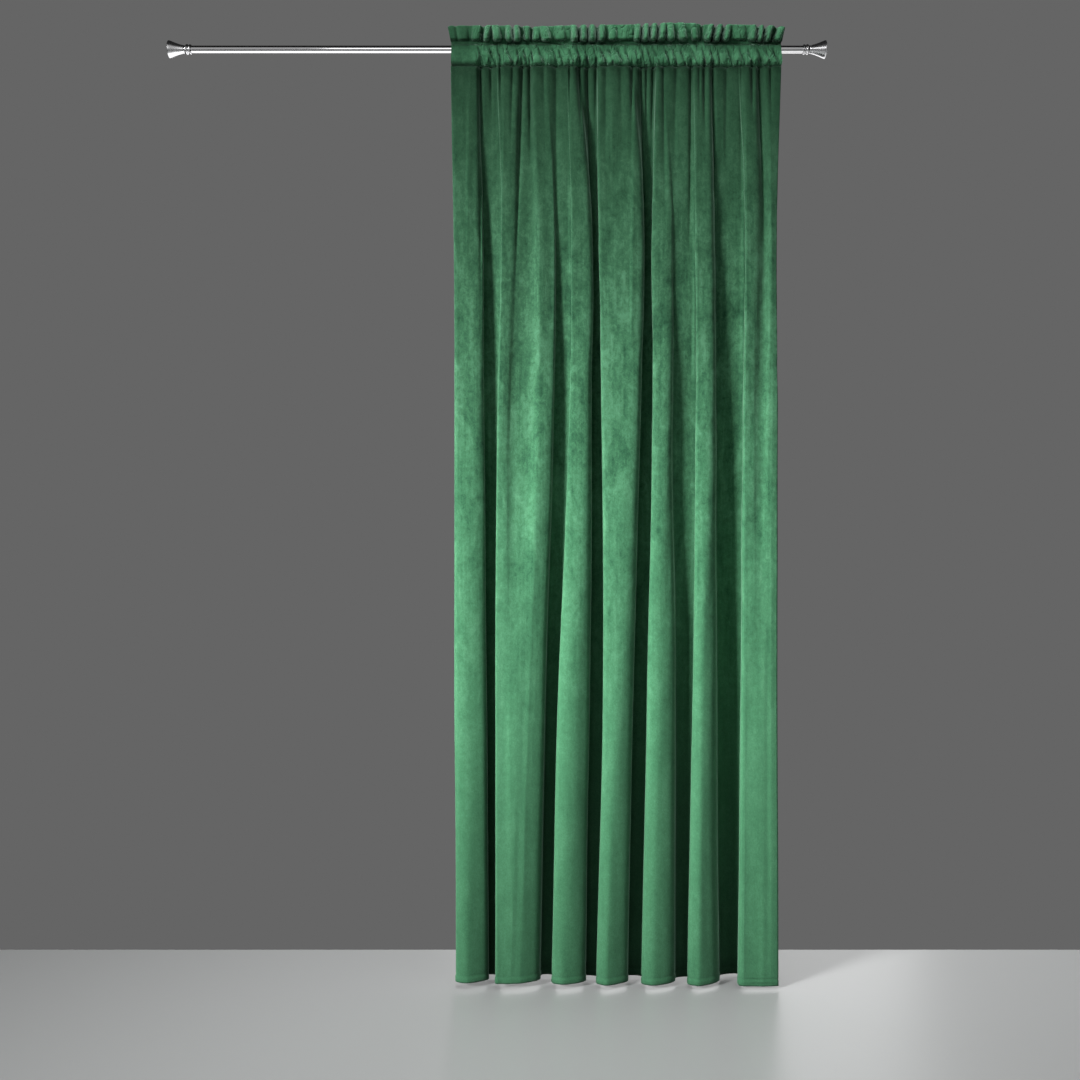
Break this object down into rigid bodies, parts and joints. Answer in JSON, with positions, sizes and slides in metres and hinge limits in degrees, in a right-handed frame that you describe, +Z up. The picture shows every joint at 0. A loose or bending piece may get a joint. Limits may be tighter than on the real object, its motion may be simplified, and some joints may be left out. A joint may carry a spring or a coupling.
{
  "type": "velvet curtain on a rod",
  "caption": "Long velvet curtain with a frilled rod-pocket heading, gathered on a round metal rod with flared finials; covers one side of a window.",
  "frame": {"origin": "on the rod's axis, above the middle of the curtain, where wall brackets hold the rod", "axes": "+X along the rod to the right, +Y towards the wall, +Z up"},
  "size_m": [1.7172, 0.0912, 2.5009],
  "materials": {
    "panel_velvet": "deep green crushed velvet with a short nap",
    "heading_velvet": "deep green crushed velvet, sewn and gathered",
    "rod_chrome": "polished satin chrome tube",
    "fitting_chrome": "polished satin chrome casting"
  },
  "bodies": {
    "root": {"curtain_panel": "panel_velvet", "heading": "heading_velvet", "rod": "rod_chrome", "collar_left": "fitting_chrome", "finial_left": "fitting_chrome", "collar_right": "fitting_chrome", "finial_right": "fitting_chrome"}
  },
  "joints": []
}
